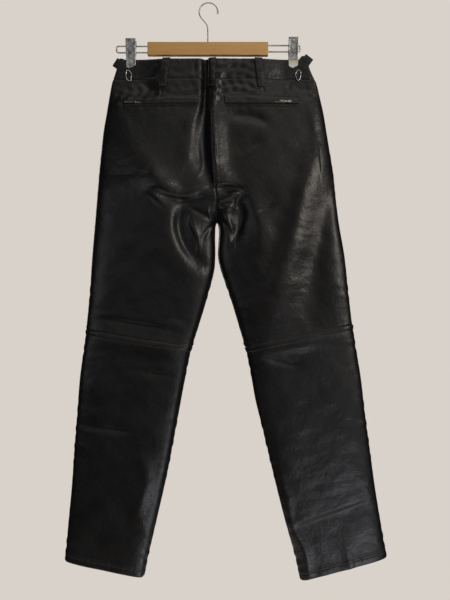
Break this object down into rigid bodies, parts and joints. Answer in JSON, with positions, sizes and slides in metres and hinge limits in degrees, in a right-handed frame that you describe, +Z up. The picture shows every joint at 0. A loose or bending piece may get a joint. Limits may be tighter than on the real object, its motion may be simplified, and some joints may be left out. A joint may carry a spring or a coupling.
{
  "type": "leather motorcycle trousers on a clip hanger",
  "caption": "Black leather motorcycle trousers with zipped back pockets, knee seams and side cinch tabs, hung flat by the waist from a wooden clip hanger.",
  "frame": {"origin": "the inside top of the hanger's hook, where the rail carries it", "axes": "+Z up, the garment's back faces -Y and its front +Y, and +X is to the right of someone who looks at the back"},
  "size_m": [0.6609, 0.0695, 1.1913],
  "materials": {
    "black_leather": "smooth black cowhide, semi-gloss",
    "zip_tape": "woven black zip tape",
    "zip_metal": "nickel-plated zinc",
    "chrome": "bright chrome plate",
    "bare_wood": "clear-varnished beech",
    "pad_plastic": "beige moulded plastic"
  },
  "bodies": {
    "root": {"waistband_left": "black_leather", "waistband_right": "black_leather", "back_upper_left": "black_leather", "back_upper_right": "black_leather", "back_lower_left": "black_leather", "back_lower_right": "black_leather", "front_upper_left": "black_leather", "front_upper_right": "black_leather", "front_lower_left": "black_leather", "front_lower_right": "black_leather", "belt_loop_back_left": "black_leather", "belt_loop_back_centre": "black_leather", "belt_loop_back_right": "black_leather", "belt_loop_front_left": "black_leather", "belt_loop_front_right": "black_leather", "pocket_welt_left": "black_leather", "pocket_welt_right": "black_leather", "side_tab_left": "black_leather", "side_tab_right": "black_leather", "fly_placket": "black_leather", "waistband_tab": "black_leather", "zip_tape_left": "zip_tape", "zip_tape_right": "zip_tape", "zip_slider_left": "zip_metal", "zip_slider_right": "zip_metal", "waistband_button": "zip_metal", "side_ring_left": "chrome", "side_ring_right": "chrome", "hanger_bar": "bare_wood", "hanger_hook": "chrome", "hanger_rods_left": "chrome", "hanger_rods_right": "chrome", "clip_left_front_jaw": "chrome", "clip_left_back_jaw": "chrome", "clip_left_yoke": "chrome", "clip_right_front_jaw": "chrome", "clip_right_back_jaw": "chrome", "clip_right_yoke": "chrome", "clip_right_pad": "pad_plastic"},
    "pull_left": {"zip_pull_left": "zip_metal"},
    "pull_right": {"zip_pull_right": "zip_metal"}
  },
  "joints": [
    {"name": "zip_pull_left_flip", "type": "hinge", "parent": "root", "child": "pull_left", "pos_m": [-0.152, -0.0209, -0.2094], "axis": [0, 0, 1], "range_deg": [0, 170]},
    {"name": "zip_pull_right_flip", "type": "hinge", "parent": "root", "child": "pull_right", "pos_m": [0.1498, -0.02233, -0.2087], "axis": [0, 0, -1], "range_deg": [0, 170]}
  ]
}
